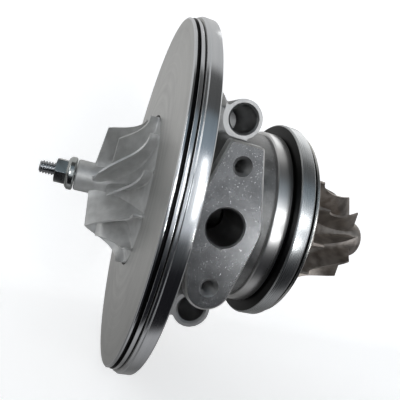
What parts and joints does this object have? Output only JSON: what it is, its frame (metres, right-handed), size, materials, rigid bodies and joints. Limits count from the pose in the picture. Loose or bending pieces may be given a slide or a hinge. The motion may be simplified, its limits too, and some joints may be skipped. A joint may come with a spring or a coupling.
{
  "type": "turbocharger cartridge",
  "caption": "Turbocharger cartridge: compressor and turbine wheels on one shaft in an oil and water cooled bearing housing with a backplate and heat shield.",
  "frame": {"origin": "on the shaft axis, in the plane of the backplate's front face", "axes": "+X along the shaft from the compressor to the turbine, -Y out of the oil drain, +Y out of the oil inlet, +Z along the drain pad's bolt line, upwards in the picture"},
  "size_m": [0.1342, 0.131, 0.131],
  "materials": {
    "turned_steel": "finely turned, bright rim",
    "cast_iron": "rough sand-cast skin, machined on its faces and flange",
    "cast_aluminium": "matte casting with bright machined blade tips",
    "turbine_alloy": "matte investment-cast nickel alloy, slightly brown",
    "ground_steel": "ground",
    "dark_steel": "oiled dark steel",
    "stamped_sheet": "pressed stainless sheet",
    "bronze": "machined bearing bronze",
    "rubber": "smooth moulded ring"
  },
  "bodies": {
    "cartridge": {"compressor_backplate": "turned_steel", "backplate_screw_1": "dark_steel", "backplate_screw_2": "dark_steel", "backplate_screw_3": "dark_steel", "backplate_screw_4": "dark_steel", "backplate_o_ring": "rubber", "bearing_housing": "cast_iron", "heat_shield": "stamped_sheet", "oil_deflector": "stamped_sheet", "thrust_bearing": "bronze", "lower_thrust_pin": "ground_steel", "upper_thrust_pin": "ground_steel", "gallery_plug": "ground_steel", "compressor_journal_front_circlip": "dark_steel", "compressor_journal_rear_circlip": "dark_steel", "turbine_journal_front_circlip": "dark_steel", "turbine_journal_rear_circlip": "dark_steel", "compressor_seal_ring": "dark_steel", "turbine_seal_ring": "dark_steel"},
    "rotor": {"rotor_shaft": "ground_steel", "turbine_wheel": "turbine_alloy", "compressor_wheel": "cast_aluminium", "compressor_nut": "dark_steel", "oil_flinger": "ground_steel", "thrust_collar": "ground_steel"},
    "compressor_bush": {"compressor_journal_bearing": "bronze"},
    "turbine_bush": {"turbine_journal_bearing": "bronze"}
  },
  "joints": [
    {"name": "rotor_spin", "type": "hinge", "parent": "cartridge", "child": "rotor", "pos_m": [0, 0, 0], "axis": [1, 0, 0], "continuous": true},
    {"name": "compressor_bush_spin", "type": "hinge", "parent": "cartridge", "child": "compressor_bush", "pos_m": [0.0253, 0, 0], "axis": [1, 0, 0], "continuous": true},
    {"name": "turbine_bush_spin", "type": "hinge", "parent": "cartridge", "child": "turbine_bush", "pos_m": [0.0443, 0, 0], "axis": [1, 0, 0], "continuous": true}
  ],
  "couplings": [
    {"joint": "compressor_bush_spin", "follows": "rotor_spin", "ratio": 0.25},
    {"joint": "turbine_bush_spin", "follows": "rotor_spin", "ratio": 0.25}
  ]
}
